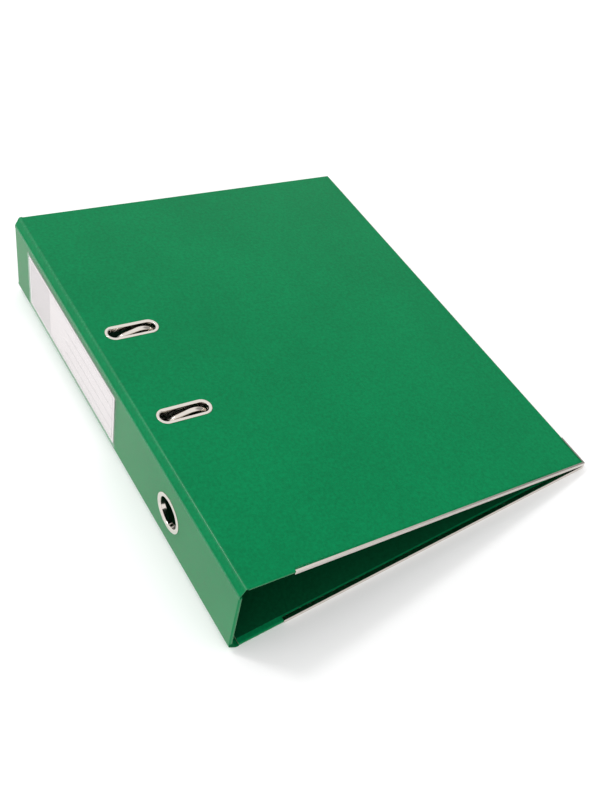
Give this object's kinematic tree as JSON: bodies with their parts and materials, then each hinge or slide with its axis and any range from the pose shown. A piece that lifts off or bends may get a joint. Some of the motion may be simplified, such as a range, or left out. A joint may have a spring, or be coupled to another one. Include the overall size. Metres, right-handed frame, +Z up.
{
  "type": "lever arch file",
  "caption": "Office file with wedge closed covers, spine with finger ring and label pocket, slotted front cover and lever worked arch mechanism.",
  "frame": {"origin": "middle of the back cover's underside, on which the file rests", "axes": "+X from the spine to the fore edge, +Y from the bottom edge to the top edge, +Z up through the front cover"},
  "size_m": [0.2862, 0.3484, 0.07],
  "materials": {
    "greyboard": "raw grey pulp board",
    "green_foil": "fine grained satin polypropylene foil",
    "green_lining": "fine grained matt polypropylene foil",
    "nickel": "bright nickel plate",
    "nickel_sheet": "nickel plated pressed steel, satin",
    "clear_film": "clear glossy polypropylene film",
    "label_paper": "uncoated white card"
  },
  "bodies": {
    "back_cover": {"back_board": "greyboard", "back_outer_foil": "green_foil", "back_lining": "green_lining", "back_edge_shoe": "nickel", "base_plate": "nickel_sheet", "base_rivets": "nickel", "near_post": "nickel", "far_post": "nickel", "lever_pin": "nickel"},
    "back_hinge": {"back_hinge_strip": "green_foil"},
    "spine": {"spine_board": "greyboard", "spine_outer_foil": "green_foil", "spine_lining": "green_lining", "finger_ring": "nickel", "finger_ring_backing": "nickel", "label_pocket": "clear_film"},
    "label": {"label_card": "label_paper"},
    "front_hinge": {"front_hinge_strip": "green_foil"},
    "front_cover": {"front_board": "greyboard", "front_outer_foil": "green_foil", "front_lining": "green_lining", "front_edge_shoe": "nickel", "far_slot_eyelet": "nickel", "far_slot_backing": "nickel", "near_slot_eyelet": "nickel", "near_slot_backing": "nickel"},
    "arches": {"arch_wire": "nickel"},
    "lever": {"lever_arm": "nickel_sheet", "roller_axle": "nickel"},
    "roller": {"pressure_roller": "nickel"},
    "compressor": {"compressor_bar": "nickel_sheet", "compressor_rivets": "nickel"},
    "lock": {"compressor_lock": "nickel_sheet"}
  },
  "joints": [
    {"name": "back_strip_fold", "type": "hinge", "parent": "back_cover", "child": "back_hinge", "pos_m": [-0.13735, 0, 0], "axis": [0, -1, 0], "range_deg": [0, 45]},
    {"name": "spine_fold", "type": "hinge", "parent": "back_hinge", "child": "spine", "pos_m": [-0.14265, 0, 0.0053], "axis": [0, -1, 0], "range_deg": [0, 51.8]},
    {"name": "front_strip_fold", "type": "hinge", "parent": "spine", "child": "front_hinge", "pos_m": [-0.13565, 0, 0.06399], "axis": [0, -1, 0], "range_deg": [0, 28.9]},
    {"name": "cover_fold", "type": "hinge", "parent": "front_hinge", "child": "front_cover", "pos_m": [-0.13128, 0, 0.07008], "axis": [0, -1, 0], "range_deg": [0, 67.29]},
    {"name": "lever_lift", "type": "hinge", "parent": "back_cover", "child": "lever", "pos_m": [-0.10065, 0, 0.014], "axis": [0, 1, 0], "range_deg": [0, 75]},
    {"name": "arch_swing", "type": "hinge", "parent": "back_cover", "child": "arches", "pos_m": [-0.11465, 0, 0.0064], "axis": [0, -1, 0], "range_deg": [0, 16.5]},
    {"name": "roller_spin", "type": "hinge", "parent": "lever", "child": "roller", "pos_m": [-0.10715, 0, 0.01145], "axis": [0, 1, 0], "continuous": true},
    {"name": "compressor_slide", "type": "slide", "parent": "back_cover", "child": "compressor", "axis": [0, 0, 1], "range_m": [0, 0.034]},
    {"name": "lock_slide", "type": "slide", "parent": "compressor", "child": "lock", "axis": [0, 1, 0], "range_m": [0, 0.002]},
    {"name": "label_slide", "type": "slide", "parent": "spine", "child": "label", "axis": [0, 1, 0], "range_m": [0, 0.14]}
  ],
  "couplings": [
    {"joint": "back_strip_fold", "follows": "spine_fold", "ratio": 0.86872},
    {"joint": "front_strip_fold", "follows": "cover_fold", "ratio": 0.42946},
    {"joint": "arch_swing", "follows": "lever_lift", "ratio": 0.22}
  ]
}
